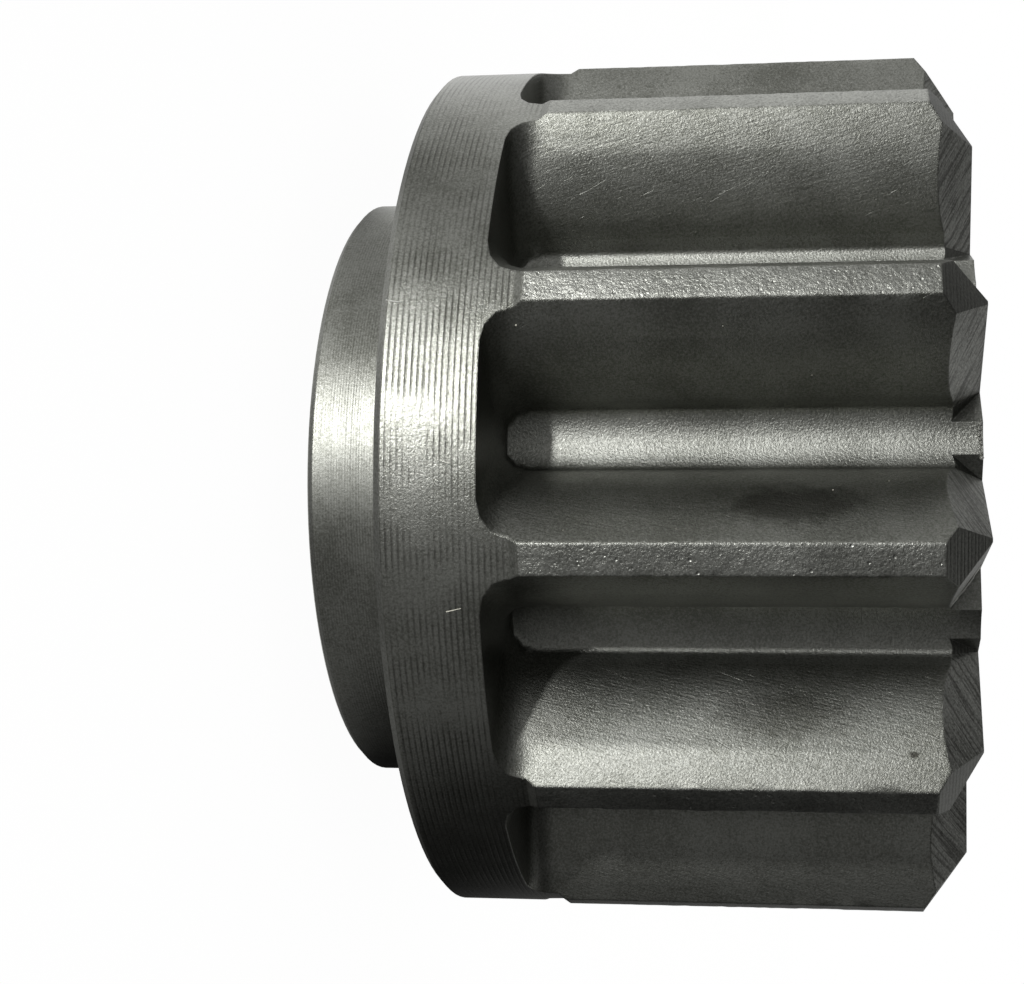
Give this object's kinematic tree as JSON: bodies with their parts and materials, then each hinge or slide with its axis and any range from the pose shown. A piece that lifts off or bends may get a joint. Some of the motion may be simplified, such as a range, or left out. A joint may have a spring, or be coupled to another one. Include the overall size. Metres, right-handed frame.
{
  "type": "starter pinion",
  "caption": "Steel starter drive pinion: spur teeth with bevelled ends, a round collar behind them, and a short hub with a splined bore.",
  "frame": {"origin": "centre of the hub's flat rear face, which the pinion stands on", "axes": "+Z along the pinion's axis, from the hub towards the free end of the teeth; the middle of a gap between two teeth lies on +X"},
  "size_m": [0.044, 0.0438, 0.0305],
  "materials": {
    "machined_steel": "turned and milled, hardened, dark grey"
  },
  "bodies": {
    "root": {"pinion": "machined_steel"}
  },
  "joints": []
}
